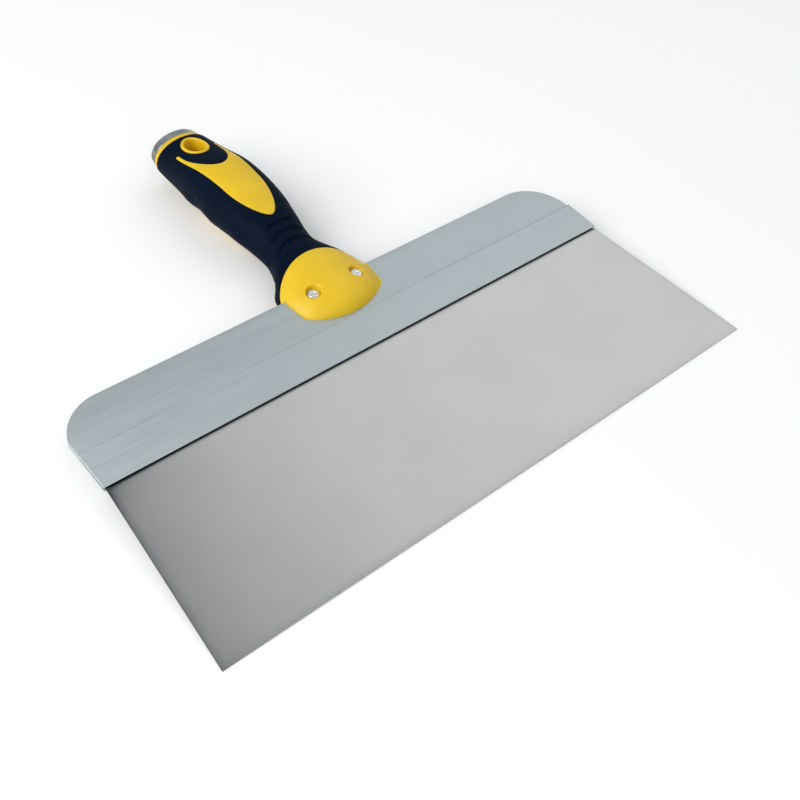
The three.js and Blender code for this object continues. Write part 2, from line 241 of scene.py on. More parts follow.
def settle(obj):
    """Turn obj's modifiers into plain mesh."""
    graph = bpy.context.evaluated_depsgraph_get()
    mesh = bpy.data.meshes.new_from_object(obj.evaluated_get(graph))
    obj.modifiers.clear()
    old = obj.data
    obj.data = mesh
    bpy.data.meshes.remove(old)
    mesh.name = obj.name
    return obj


def finish_piece(obj, material, nodes, sharp=40):
    """Lay a finished piece on the bench, shade it and tie it to the frame."""
    obj.data.transform(LIE)
    obj.data.materials.clear()
    obj.data.materials.append(material)
    obj.data.polygons.foreach_set("use_smooth", [True] * len(obj.data.polygons))
    obj.data.set_sharp_from_angle(angle=math.radians(sharp))
    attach(obj, "root")
    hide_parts(*nodes)


def grid_faces(rows, columns, closed=True):
    """Quads between successive rings of `columns` points."""
    faces = []
    last = columns if closed else columns - 1
    for i in range(rows - 1):
        for j in range(last):
            k = (j + 1) % columns
            faces.append((i * columns + j, i * columns + k, (i + 1) * columns + k, (i + 1) * columns + j))
    return faces


def ring_solid(name, rings):
    """A closed body from a stack of rings, an array (rows, columns, 3), capped with a fan at each end."""
    rows, columns, _ = rings.shape
    vertices = list(rings.reshape(-1, 3))
    faces = grid_faces(rows, columns)
    for row, turn in ((0, -1), (rows - 1, 1)):
        centre = len(vertices)
        vertices.append(rings[row].mean(0))
        for j in range(columns):
            pair = (row * columns + j, row * columns + (j + 1) % columns)
            faces.append((*pair[::turn], centre))
    obj = new_object(name, vertices, faces)
    return face_outwards(obj)


def face_outwards(obj):
    mesh = bmesh.new()
    mesh.from_mesh(obj.data)
    bmesh.ops.recalc_face_normals(mesh, faces=mesh.faces)
    if mesh.calc_volume(signed=True) < 0:
        bmesh.ops.reverse_faces(mesh, faces=mesh.faces)
    mesh.to_mesh(obj.data)
    mesh.free()
    return obj


def stacked(name, rings):
    """A closed body from a stack of rings, closed with one flat face at each end."""
    rows, count, _ = rings.shape
    faces = grid_faces(rows, count)
    faces.append(tuple(range(count))[::-1])
    faces.append(tuple(range((rows - 1) * count, rows * count)))
    return face_outwards(new_object(name, rings.reshape(-1, 3), faces))


def prism(name, outline, low, high):
    """A flat outline, an array (n, 2), extruded from z = low to z = high."""
    ends = [np.column_stack([outline, np.full(len(outline), z)]) for z in (low, high)]
    return stacked(name, np.array(ends))


def swept_x(name, profile):
    """A closed (y, z) profile swept along X past both ends of the strip."""
    reach = STRIP_WIDTH / 2 + 2
    ends = [np.column_stack([np.full(len(profile), x), profile]) for x in (-reach, reach)]
    return stacked(name, np.array(ends))


def block(name, x, y, z):
    corners = np.array([(x[0], y[0]), (x[1], y[0]), (x[1], y[1]), (x[0], y[1])], float)
    return prism(name, corners, *z)


# ---- handle form --------------------------------------------------------------------------------

def along(y, column):
    """Smooth curve through one column of the stations, at an array of y."""
    at = HANDLE_STATIONS[:, 0]
    value = HANDLE_STATIONS[:, column]
    slope = np.empty(len(at))
    slope[1:-1] = (value[2:] - value[:-2]) / (at[2:] - at[:-2])
    slope[0] = (value[1] - value[0]) / (at[1] - at[0])
    slope[-1] = (value[-1] - value[-2]) / (at[-1] - at[-2])
    y = np.asarray(y, float)
    i = np.clip(np.searchsorted(at, y) - 1, 0, len(at) - 2)
    span = at[i + 1] - at[i]
    t = np.clip((y - at[i]) / span, 0, 1)
    start = value[i] * (2 * t**3 - 3 * t**2 + 1) + slope[i] * span * (t**3 - 2 * t**2 + t)
    end = value[i + 1] * (3 * t**2 - 2 * t**3) + slope[i + 1] * span * (t**3 - t**2)
    return start + end


def depth_to(y, side):
    """Depth of the section from its widest line to the front (side 1) or the back (side -1)."""
    return np.abs(along(y, FRONT if side > 0 else BACK) - along(y, WIDEST))


def shield_arc():
    """Centre y and radius of the shield's bottom arc."""
    half, corner_y = SHIELD_CORNER
    drop = corner_y - SHIELD_BOTTOM_Y
    radius = (half**2 + drop**2) / (2 * drop)
    return SHIELD_BOTTOM_Y + radius, radius


def collar_fall(x, y):
    """How much of its full height the collar keeps near its bottom arc: 0 at the arc, 1 well above."""
    centre, radius = shield_arc()
    corner_x, corner_y = SHIELD_CORNER
    below = np.abs(x) * (centre - corner_y) < corner_x * (centre - y)
    to_corner = np.hypot(np.abs(x) - corner_x, y - corner_y)
    inside = np.where(below, radius - np.hypot(x, y - centre), to_corner)
    inside = np.clip(inside / COLLAR_ROUND, 0, 1)
    return (1 - (1 - inside) ** COLLAR_POWER) ** (1 / COLLAR_POWER)


def surface_z(x, y, side):
    """Height of the handle's outer form over (x, y), on the front (side 1) or the back (side -1)."""
    power = along(y, SQUARENESS)
    across = np.clip(1 - np.abs(x / along(y, WIDTH)) ** power, 0, 1) ** (1 / power)
    return along(y, WIDEST) + side * depth_to(y, side) * across * collar_fall(x, y)


def sections(y, inset, quarter=72):
    """Rings of points evenly spaced round the handle at each y, inset by a distance given per ring."""
    y = np.asarray(y, float)
    inset = np.broadcast_to(np.asarray(inset, float), y.shape)
    angle = np.linspace(0, math.pi / 2, 400)
    share = np.linspace(0, 1, quarter + 1)
    rings = np.empty((len(y), 4 * quarter, 3))
    for row, (at, trim) in enumerate(zip(y, inset)):
        power = 2 / along(at, SQUARENESS)
        quarters = []
        for side in (1, -1):
            x = (along(at, WIDTH) - trim) * np.sin(angle) ** power
            z = (depth_to(at, side) - trim) * np.cos(angle) ** power
            length = np.concatenate([[0], np.cumsum(np.hypot(np.diff(x), np.diff(z)))])
            x, z = (np.interp(share * length[-1], length, value) for value in (x, z))
            quarters.append((x, side * z))
        (front_x, front_z), (back_x, back_z) = quarters
        ring_x = np.concatenate([front_x[:-1], back_x[:0:-1], -back_x[:-1], -front_x[:0:-1]])
        ring_z = np.concatenate([front_z[:-1], back_z[:0:-1], back_z[:-1], front_z[:0:-1]])
        rings[row] = np.column_stack([ring_x, np.full(4 * quarter, at), along(at, WIDEST) + ring_z])
    return rings


def ring_normals(rings):
    along_y = np.gradient(rings, axis=0)
    around = np.roll(rings, -1, axis=1) - np.roll(rings, 1, axis=1)
    normal = np.cross(around, along_y)
    normal /= np.linalg.norm(normal, axis=2, keepdims=True) + 1e-12
    centre = rings.mean(axis=1, keepdims=True)
    outward = np.sum(normal * (rings - centre), axis=2, keepdims=True)
    return np.where(outward < 0, -normal, normal)


def push_in(rings, depth):
    """Move each point of the rings inwards by its depth. The end rings keep their y."""
    moved = rings - ring_normals(rings) * depth[:, :, None]
    moved[[0, -1], :, 1] = rings[[0, -1], :, 1]
    return moved


# ---- outlines -----------------------------------------------------------------------------------

def arc(centre, radii, start, end, count):
    angle = np.linspace(start, end, count)
    return np.column_stack([centre[0] + radii[0] * np.cos(angle), centre[1] + radii[1] * np.sin(angle)])


def bezier(a, b, c, d, count=40):
    t = np.linspace(0, 1, count)[:, None]
    a, b, c, d = (np.array(p, float) for p in (a, b, c, d))
    return (1 - t) ** 3 * a + 3 * t * (1 - t) ** 2 * b + 3 * t**2 * (1 - t) * c + t**3 * d


def resample(points):
    """The same closed line with evenly spaced points, without repeats."""
    line = np.vstack([points, points[:1]])
    length = np.concatenate([[0], np.cumsum(np.linalg.norm(np.diff(line, axis=0), axis=1))])
    keep = np.concatenate([[True], np.diff(length) > 1e-9])
    line, length = line[keep], length[keep]
    count = max(3, int(round(length[-1] / OUTLINE_PITCH)))
    at = np.linspace(0, length[-1], count, endpoint=False)
    return np.column_stack([np.interp(at, length, line[:, k]) for k in (0, 1)])


def oval(y, half_width, half_length, count=96):
    return arc((0, y), (half_width, half_length), 0, 2 * math.pi, count + 1)[:-1]


def shield_outline(grow):
    """The shield seen from the front: an arch over the collar and a shallow arc at the bottom."""
    corner_x, corner_y = SHIELD_CORNER[0] + grow, SHIELD_CORNER[1] - grow / 2
    centre, radius = shield_arc()
    radius += grow
    arch_half = SHIELD_ARCH_HALF_WIDTH + grow
    sweep = math.asin(corner_x / radius) - SHIELD_CORNER_ROUND / radius
    arch = arc((0, SHIELD_ARCH_Y), (arch_half, SHIELD_ARCH_HEIGHT + grow), 0, math.pi, 80)
    bottom = arc((0, centre), (radius, radius), -math.pi / 2 - sweep, -math.pi / 2 + sweep, 60)
    corner = np.array([corner_x, corner_y])
    up = np.array([arch_half, SHIELD_ARCH_Y]) - corner
    side = corner + up / np.linalg.norm(up) * SHIELD_CORNER_ROUND
    right = bezier(bottom[-1], (bottom[-1] + 2 * corner) / 3, (side + 2 * corner) / 3, side, 12)
    left = right[::-1] * [-1, 1]
    return resample(np.vstack([arch, left, bottom[1:-1], right]))


def leaf_outline(grow):
    """The leaf panel: a tip towards the collar, and two round horns either side of the eyelet's bay."""
    half = LEAF_HALF_WIDTH + grow
    tip, top = LEAF_TIP_Y - grow, LEAF_TOP_Y + grow
    bay, bay_depth = LEAF_BAY[0] - grow, LEAF_BAY[1] - grow
    widest = (half * 0.87, tip + 26)
    lower = bezier((0, tip), (half * 0.36, tip), (half * 0.87, tip + 14), widest)
    finger = (half * 0.98 - bay) / 2
    upper = bezier(widest, (half * 0.94, tip + 39), (half, top - 14), (half * 0.98, top - finger))
    end = arc((bay + finger, top - finger), (finger, finger), 0, math.pi, 12)
    right = np.vstack([lower, upper[1:], end[1:]])
    left = right[::-1] * [-1, 1]
    bay_line = arc((0, LEAF_BAY_Y), (bay, bay_depth), 0, -math.pi, 80)
    return resample(np.vstack([right, bay_line, left[:-1]]))


def outline_distance(points, outline):
    """Signed distance from points (n, 2) to a closed outline: positive inside."""
    start = outline
    end = np.roll(outline, -1, axis=0)
    best = np.full(len(points), np.inf)
    inside = np.zeros(len(points), bool)
    for a, b in zip(start, end):
        edge = b - a
        t = np.clip((points - a) @ edge / (edge @ edge), 0, 1)
        offset = points - a - t[:, None] * edge
        best = np.minimum(best, np.einsum("ij,ij->i", offset, offset))
        crosses = (a[1] > points[:, 1]) != (b[1] > points[:, 1])
        if a[1] != b[1]:
            at = a[0] + (points[:, 1] - a[1]) / (b[1] - a[1]) * edge[0]
            inside ^= crosses & (points[:, 0] < at)
    return np.sqrt(best) * np.where(inside, 1, -1)


def round_over(distance, radius):
    """Drop of a surface whose edge is rounded over, at a distance inside that edge."""
    near = np.clip(radius - distance, 0, radius)
    return radius - np.sqrt(radius**2 - near**2)


# ---- inserts: the parts of the core that show through the grip -----------------------------------

def insert(name, outline, base, height, near=INSERT_STEPS):
    """A closed body over an outline. height(points, distance inside) gives its outer face and
    base(points) its inner one. Points crowd towards the outline so that its edge is smooth."""
    middle = (outline + np.roll(outline, -1, axis=0)) / 2
    edge = np.roll(outline, -1, axis=0) - outline
    inward = np.column_stack([-edge[:, 1], edge[:, 0]]) / np.linalg.norm(edge, axis=1)[:, None]
    if outline_distance(middle + inward * 1e-3, outline).mean() < 0:
        inward = -inward
    layers = []
    for k, step in enumerate(near):
        at = (middle if k % 2 else outline) + inward * step
        layers.append(at[outline_distance(at, outline) > step * 0.93])
    low, high = outline.min(0), outline.max(0)
    xs = np.arange(low[0], high[0], INSERT_PITCH)
    ys = np.arange(low[1], high[1], INSERT_PITCH)
    lattice = np.stack(np.meshgrid(xs, ys), -1)
    lattice[1::2, :, 0] += INSERT_PITCH / 2
    lattice = lattice.reshape(-1, 2)
    layers.append(lattice[outline_distance(lattice, outline) > near[-1] + INSERT_PITCH * 0.5])
    points = np.vstack([outline, *layers])
    count = len(outline)
    loop = [(i, (i + 1) % count) for i in range(count)]
    result = delaunay_2d_cdt([Vector(p) for p in points], loop, [], 1, 1e-5)
    flat = np.array([tuple(v) for v in result[0]])
    top = height(flat, np.clip(outline_distance(flat, outline), 0, None))
    size = len(flat)
    vertices = np.vstack([np.column_stack([flat, top]), np.column_stack([flat, base(flat)])])
    faces = [tuple(f) for f in result[2]]
    edges = {(a, b): True for f in faces for a, b in zip(f, f[1:] + f[:1])}
    rim = [(a, b) for a, b in edges if (b, a) not in edges]
    under = [tuple(size + i for i in f[::-1]) for f in faces]
    walls = [(b, a, size + a, size + b) for a, b in rim]
    return face_outwards(new_object(name, vertices, faces + under + walls))


def shield_insert(side):
    """Front or back shield of the collar: a domed pad that stands on the strip's face, and wraps
    round the handle's form above the strip."""
    face = MIDDLE_Z + side * (STRIP_THICKNESS / 2 + SHIELD_FACE_GAP)
    outline = shield_outline(-SHIELD_INSET)
    y = outline[:, 1]
    power = along(y, SQUARENESS)
    rise = np.clip(side * (face - along(y, WIDEST)) + SHIELD_LIP, 0, None) / depth_to(y, side)
    on_face = (1 - rise**power) ** (1 / power)
    on_face = np.minimum((on_face + SHIELD_WIDTH_SHARE) / 2, SHIELD_WIDTH_SHARE)
    limit = along(y, WIDTH) * np.where(y < STRIP_TOP_Y, on_face, SHIELD_WIDTH_SHARE)
    outline[:, 0] = np.clip(outline[:, 0], -limit, limit)

    def height(points, distance):
        z = side * surface_z(points[:, 0], points[:, 1], side)
        above = points[:, 1] > STRIP_TOP_Y
        seam = np.where(points[:, 1] > 1, round_over(distance, INSERT_ROUND), 0)
        return side * np.where(above, z - seam, np.maximum(z, side * face + SHIELD_LIP))

    def base(points):
        deep = SHIELD_WRAP_Z if side > 0 else face
        return np.where(points[:, 1] > STRIP_TOP_Y, deep, face)

    return insert(f"shield{side}", outline, base, height, SHIELD_STEPS)


def leaf_insert(side):
    def base(points):
        return np.full(len(points), MIDDLE_Z + side * LEAF_BASE)

    def height(points, distance):
        z = surface_z(points[:, 0], points[:, 1], side)
        return z - side * round_over(distance, INSERT_ROUND)

    return insert(f"leaf{side}", leaf_outline(0), base, height)


def eyelet_rings(side):
    """Rings of the eyelet's plug, from its rim to its middle, on one face of the handle."""
    rings = []
    for step in EYELET_STEPS:
        ring = oval(HOLE_Y, EYELET_SIZE[0] - step, EYELET_SIZE[1] - step)
        z = surface_z(ring[:, 0], ring[:, 1], side)
        rise = EYELET_RAISE - round_over(step, EYELET_ROUND)
        rings.append(np.column_stack([ring, z + side * rise]))
    return rings


def eyelet_plug():
    front = eyelet_rings(1)
    back = eyelet_rings(-1)
    return ring_solid("eyelet", np.array(front[::-1] + back))


def hole_cutter():
    """The hang hole's bore, flared where it meets the sloping faces so that its mouth is rounded."""
    rings = []
    for side, steps in ((1, HOLE_FLARE), (-1, HOLE_FLARE[::-1])):
        for depth, grow in steps:
            ring = oval(HOLE_Y, HOLE_SIZE[0] + grow, HOLE_SIZE[1] + grow)
            z = surface_z(ring[:, 0], ring[:, 1], side) + side * (EYELET_RAISE - depth)
            rings.append(np.column_stack([ring, z]))
    return ring_solid("hole", np.array(rings))


def turned(name, profile, x, y, columns=64):
    """A body turned about a line along Z, from a list of (radius, z)."""
    angle = np.linspace(0, 2 * math.pi, columns, endpoint=False)
    rings = []
    for radius, z in profile:
        rings.append(np.column_stack([
            x + radius * np.cos(angle), y + radius * np.sin(angle), np.full(columns, z),
        ]))
    return ring_solid(name, np.array(rings))


def recess_cutter(x, columns=72):
    """The rivet's bore with the round recess for each head, softened where it meets the dome."""
    seat = RIVET_HEAD_TOP - RECESS_DEPTH
    angle = np.linspace(0, 2 * math.pi, columns, endpoint=False)
    halves = []
    for side in (1, -1):
        face = MIDDLE_Z + side * (seat - MIDDLE_Z)
        rings = [(radius, np.full(columns, face + side * rise)) for radius, rise in RECESS_FLOOR]
        for radius, below in RECESS_MOUTH:
            z = surface_z(x + radius * np.cos(angle), RIVET_Y + radius * np.sin(angle), side)
            rings.append((radius, z - side * below))
        halves.append([
            np.column_stack([x + r * np.cos(angle), RIVET_Y + r * np.sin(angle), z]) for r, z in rings
        ])
    front, back = halves
    return ring_solid("recess", np.array(back[::-1] + front))


# ---- pieces -------------------------------------------------------------------------------------

def make_core():
    """The core: a plain body under the grip, and the parts of it that show."""
    rows = np.arange(GRIP_START_Y, GRIP_END_Y + 0.3, 1.5)
    core = ring_solid("handle_core_shown", sections(rows, GRIP_THICKNESS, 32))
    edge = FLANGE_STEPS
    flange_y = np.concatenate([FLANGE_START_Y + edge, FLANGE_END_Y - edge[::-1]])
    flange_inset = BUTT_INSET + round_over(np.concatenate([edge, edge[::-1]]), edge[-1])
    combine(core, ring_solid("flange", sections(flange_y, flange_inset)), "UNION")
    spigot = sections([FLANGE_END_Y - 1, SPIGOT_END_Y], BUTT_INSET + CAP_WALL + SPIGOT_CLEARANCE, 48)
    combine(core, ring_solid("spigot", spigot), "UNION")
    for side in (1, -1):
        combine(core, shield_insert(side), "UNION")
        combine(core, leaf_insert(side), "UNION")
    combine(core, eyelet_plug(), "UNION")
    slot_x = (-SLOT_REACH, SLOT_REACH)
    slot_y = (-SLOT_REACH, STRIP_TOP_Y)
    slot_z = (-STRIP_THICKNESS - SHIELD_FACE_GAP, SHIELD_FACE_GAP)
    combine(core, block("slot", slot_x, slot_y, slot_z), "DIFFERENCE")
    combine(core, hole_cutter(), "DIFFERENCE")
    for x in (-RIVET_X, RIVET_X):
        combine(core, recess_cutter(x), "DIFFERENCE")
    return core


def groove_depth(x, y):
    """Depth of the three curved thumb grooves at the waist."""
    depth = np.zeros_like(x)
    for top, reach, drop in THUMB_GROOVES:
        line = top - drop * np.abs(x / reach) ** 3
        fade = np.clip((reach - np.abs(x)) / GROOVE_FADE, 0, 1)
        across = np.clip(1 - np.abs(y - line) / GROOVE_HALF_WIDTH, 0, 1)
        depth = np.maximum(depth, GROOVE_DEPTH * fade * across ** 1.5 * (1.5 - 0.5 * across))
    return depth


def side_wave(y):
    """Swells of the grip's underside and flanks, as a depth below the plain form."""
    return sum(size * np.exp(-(((y - at) / width) ** 2)) for at, width, size in FLANK_WAVES)


def make_grip():
    """The grip: a sleeve over the core, with openings for the shields, the leaf panel and the eyelet."""
    rows = np.concatenate([
        GRIP_START_Y + GRIP_END_STEPS,
        np.arange(1.5, GRIP_END_Y - 1.2, GRIP_PITCH),
        GRIP_END_Y - GRIP_END_STEPS[::-1],
    ])
    rings = sections(rows, 0, 80)
    shape = rings.shape[:2]
    points = rings[:, :, :2].reshape(-1, 2)
    ends = np.minimum(points[:, 1] - GRIP_START_Y, GRIP_END_Y - points[:, 1])
    depth = round_over(ends, GRIP_END_ROUND)
    front = (rings[:, :, 2] - along(rings[:, :, 1], WIDEST)).reshape(-1)
    eyelet = oval(HOLE_Y, *EYELET_SIZE)
    for outline in (shield_outline(0), leaf_outline(0), eyelet):
        outside = np.clip(-outline_distance(points, outline), 0, None)
        depth = np.maximum(depth, np.where(np.abs(front) > 0.3, round_over(outside, SEAM_ROUND), 0))
    x = rings[:, :, 0].reshape(-1)
    y = points[:, 1]
    depth += np.where(front > 0, groove_depth(x, y), 0)
    depth += np.clip(0.5 - front / 4, 0, 1) * side_wave(y)
    rings = push_in(rings, depth.reshape(shape))
    grip = ring_solid("soft_grip_shown", rings)

    inner_y = np.arange(GRIP_START_Y - 2, GRIP_END_Y + 2.1, 1.5)
    combine(grip, ring_solid("inner", sections(inner_y, GRIP_THICKNESS - 0.1, 32)), "DIFFERENCE")
    for side in (1, -1):
        z = sorted((MIDDLE_Z + side * STRIP_THICKNESS / 2, MIDDLE_Z + side * WINDOW_REACH))
        combine(grip, prism("window", shield_outline(SEAM), *z), "DIFFERENCE")
        z = sorted((MIDDLE_Z + side * 2, MIDDLE_Z + side * WINDOW_REACH))
        combine(grip, prism("window", leaf_outline(SEAM), *z), "DIFFERENCE")
    window = oval(HOLE_Y, EYELET_SIZE[0] + SEAM, EYELET_SIZE[1] + SEAM)
    combine(grip, prism("window", window, -WINDOW_REACH, WINDOW_REACH), "DIFFERENCE")
    return grip


def strip_outline(inset):
    """The strip seen from the front, inset all round. The flange's round corners stand a little to
    the left of the lower part, so the right one is set in and the left one is cut off by the end."""
    half = STRIP_WIDTH / 2 - inset
    radius = FLANGE_CORNER_RADIUS - inset
    right = FLANGE_RIGHT_X - FLANGE_CORNER_RADIUS
    left = FLANGE_LEFT_X + FLANGE_CORNER_RADIUS
    left_end = math.acos((-half - left) / radius)
    return np.vstack([
        [(half, -STRIP_HEIGHT + inset), (half, -FLANGE_HEIGHT - inset * 0.4)],
        [(right + radius, -FLANGE_HEIGHT + 0.2)],
        arc((right, -FLANGE_CORNER_RADIUS), (radius, radius), 0, math.pi / 2, 25),
        arc((left, -FLANGE_CORNER_RADIUS), (radius, radius), math.pi / 2, left_end, 25),
        [(-half, -STRIP_HEIGHT + inset)],
    ])


def make_strip():
    """The strip, with its rim softened, the scribed line, and the slot with its open lower mouth."""
    rings = []
    half = STRIP_THICKNESS / 2
    for side, steps in ((-1, STRIP_RIM), (1, STRIP_RIM[::-1])):
        for inset, below in steps:
            outline = strip_outline(inset)
            z = MIDDLE_Z + side * (half - below)
            rings.append(np.column_stack([outline, np.full(len(outline), z)]))
    strip = stacked("backing_strip_shown", np.array(rings))

    gap = BLADE_THICKNESS / 2 + SLOT_CLEARANCE
    mouth = [
        (SLOT_TOP_Y, MIDDLE_Z - gap), (SLOT_TOP_Y, MIDDLE_Z + gap),
        (-STRIP_HEIGHT + 3.2, MIDDLE_Z + gap), (-STRIP_HEIGHT + 1.4, MIDDLE_Z + gap + 0.35),
        (-STRIP_HEIGHT + 0.35, MIDDLE_Z + gap + 0.62), (-STRIP_HEIGHT - 1, MIDDLE_Z + gap + 1.0),
        (-STRIP_HEIGHT - 1, MIDDLE_Z - gap - 0.5), (-STRIP_HEIGHT + 0.6, MIDDLE_Z - gap),
    ]
    combine(strip, swept_x("slot", mouth), "DIFFERENCE")
    combine(strip, swept_x("scribe", [(SCRIBE_Y + y, z) for y, z in SCRIBE]), "DIFFERENCE")
    for x in (-RIVET_X, RIVET_X):
        hole = turned("hole", [(RIVET_BORE_RADIUS, -5), (RIVET_BORE_RADIUS, 2)], x, RIVET_Y, 48)
        combine(strip, hole, "DIFFERENCE")
    return strip


def make_blade():
    """The blade: a thin flared sheet, bowed very slightly forward in the middle of its edge."""
    below = np.linspace(0, 1, BLADE_ROWS) ** 0.9
    y = np.concatenate([[BLADE_TOP_Y], -STRIP_HEIGHT + 2 + (BLADE_EDGE_Y + STRIP_HEIGHT - 2) * below])
    fall = np.clip((-STRIP_HEIGHT - y) / (-STRIP_HEIGHT - BLADE_EDGE_Y), 0, 1)[:, None]
    held = BLADE_STRIP_WIDTH / 2
    width = held + (BLADE_EDGE_WIDTH / 2 - held) * fall
    across = np.linspace(-1, 1, BLADE_COLUMNS)[None, :]
    x = across * width
    bow = BLADE_BOW * fall**1.5 * (1 - across**2)
    half = BLADE_THICKNESS / 2 * (1 - BLADE_THINNING * fall**6)
    front = np.stack([x, np.broadcast_to(y[:, None], x.shape), MIDDLE_Z + bow + half], -1)
    back = np.stack([x, np.broadcast_to(y[:, None], x.shape), MIDDLE_Z + bow - half], -1)
    rows, columns = x.shape
    size = rows * columns
    faces = grid_faces(rows, columns, closed=False)
    faces += [tuple(size + i for i in f[::-1]) for f in faces]
    rim = (
        list(range(columns))
        + [i * columns + columns - 1 for i in range(1, rows)]
        + [(rows - 1) * columns + j for j in range(columns - 2, -1, -1)]
        + [i * columns for i in range(rows - 2, 0, -1)]
    )
    for a, b in zip(rim, rim[1:] + rim[:1]):
        faces.append((b, a, size + a, size + b))
    vertices = np.vstack([front.reshape(-1, 3), back.reshape(-1, 3)])
    blade = face_outwards(new_object("blade_shown", vertices, faces))
    bevel = blade.modifiers.new("edge", "BEVEL")
    bevel.width = BLADE_BEVEL
    bevel.segments = 2
    bevel.limit_method = "ANGLE"
    bevel.angle_limit = math.radians(60)
    return settle(blade)


def make_rivet(name, x):
    """One rivet with a domed, dimpled head at either end."""
    top = RIVET_HEAD_TOP - MIDDLE_Z
    head = [(r, top - RIVET_HEAD_HEIGHT + rise) for r, rise in RIVET_HEAD_SIDE]
    head += [(r, top - below) for r, below in RIVET_HEAD_DIMPLE]
    profile = [(r, MIDDLE_Z - z) for r, z in head[::-1]] + [(r, MIDDLE_Z + z) for r, z in head]
    return turned(name, profile, x, RIVET_Y, 72)


def make_cap():
    """The pressed steel cap: a cup with a softly rolled lip and a domed striking face."""
    dome = np.sin(np.linspace(0, math.pi / 2, 22))[1:]
    y = np.concatenate([
        CAP_START_Y + CAP_LIP_STEPS,
        CAP_START_Y + CAP_SKIRT,
        CAP_DOME_START_Y + dome * (CAP_END_Y - CAP_DOME_START_Y),
    ])
    fall = 1 - np.sqrt(np.clip(1 - dome**CAP_DOME_POWER, 0, 1))
    inset = BUTT_INSET + np.concatenate([
        round_over(CAP_LIP_STEPS, CAP_LIP_ROUND), np.zeros(len(CAP_SKIRT)), fall * CAP_DOME_REACH,
    ])
    cap = ring_solid("butt_cap_shown", sections(y, inset))
    bore = sections([FLANGE_END_Y - 1, CAP_SKIRT_END_Y], BUTT_INSET + CAP_WALL, 48)
    return combine(cap, ring_solid("bore", bore), "DIFFERENCE")


# ---- materials ----------------------------------------------------------------------------------

# Linear colours. A pair is mixed by a broad noise.
YELLOW = ((0.765, 0.500, 0.012), (0.710, 0.455, 0.009))
NAVY = ((0.0003, 0.0040, 0.0130), (0.0008, 0.0056, 0.0165))
ALUMINIUM = ((0.490, 0.541, 0.550), (0.550, 0.600, 0.606))
ALUMINIUM_STREAK = (0.575, 0.620, 0.623)
STEEL = ((0.560, 0.550, 0.527), (0.598, 0.588, 0.568))
RIVET_STEEL = (0.86, 0.85, 0.82)
CAP_STEEL = (0.60, 0.60, 0.58)
FLOOR = ((0.97, 0.96, 0.94), (0.96, 0.95, 0.93))
# Dark tone of the blade: a painted shadow under the strip's lower edge, and darkening near its left and
# working edges.
BLADE_DARK_TONE = (0.07, 0.075, 0.08)
# Painted shade for the cap's lower flank, standing in for its dark reflection.
CAP_PAINTED_SHADE = (0.09, 0.09, 0.085)

# Darkening of the blade: (reach in metres, strength). The line along the strip is a painted shadow under
# the strip's lower edge. The dark patch in the corner adds to the side's.
STRIP_SHADOW_LINE = (0.0012, 0.74)
SIDE_LINE = (0.0007, 0.50)
EDGE_LINE = (0.0022, 0.10)
CORNER_DARK_PATCH = (0.008, 0.60)
SIDE_DARK_PATCH = 0.27
DARK_PATCH_REACH = 0.011
DARKENING_LIMIT = 0.9

# Heights over the bench between which the cap's painted shade fades out: the lower flank is painted darker
# in place of its dark reflection.
CAP_SHADE_Z = (0.017, 0.026)


def new_material(name):
    material = bpy.data.materials.new(name)
    material.use_nodes = True
    nodes = material.node_tree.nodes
    return material, nodes, material.node_tree.links, nodes["Principled BSDF"]


def noise(nodes, links, scale, detail=3.0, stretch=(1, 1, 1), roughness=0.5):
    """Noise in object space, stretched along the axes. Scale is per metre."""
    place = nodes.new("ShaderNodeTexCoord")
    mapping = nodes.new("ShaderNodeMapping")
    mapping.inputs["Scale"].default_value = stretch
    texture = nodes.new("ShaderNodeTexNoise")
    texture.inputs["Scale"].default_value = scale
    texture.inputs["Detail"].default_value = detail
    texture.inputs["Roughness"].default_value = roughness
    links.new(place.outputs["Object"], mapping.inputs["Vector"])
    links.new(mapping.outputs["Vector"], texture.inputs["Vector"])
    return texture.outputs["Fac"]


def spread(nodes, links, value, low, high, start=0.3, end=0.7):
    """Map a texture's middle range to low..high."""
    remap = nodes.new("ShaderNodeMapRange")
    remap.inputs["From Min"].default_value = start
    remap.inputs["From Max"].default_value = end
    remap.inputs["To Min"].default_value = low
    remap.inputs["To Max"].default_value = high
    links.new(value, remap.inputs["Value"])
    return remap.outputs["Result"]


def mix_colours(nodes, links, factor, a, b):
    mix = nodes.new("ShaderNodeMix")
    mix.data_type = "RGBA"
    links.new(factor, mix.inputs["Factor"])
    for socket, colour in ((mix.inputs["A"], a), (mix.inputs["B"], b)):
        if isinstance(colour, tuple):
            socket.default_value = (*colour, 1)
        else:
            links.new(colour, socket)
    return mix.outputs["Result"]


def bump(nodes, links, height, strength, distance, normal=None):
    node = nodes.new("ShaderNodeBump")
    node.inputs["Strength"].default_value = strength
    node.inputs["Distance"].default_value = distance
    links.new(height, node.inputs["Height"])
    if normal is not None:
        links.new(normal, node.inputs["Normal"])
    return node.outputs["Normal"]


def place_axes(nodes, links):
    """X, Y and Z of the point in object space."""
    place = nodes.new("ShaderNodeTexCoord")
    split = nodes.new("ShaderNodeSeparateXYZ")
    links.new(place.outputs["Object"], split.inputs["Vector"])
    return split.outputs


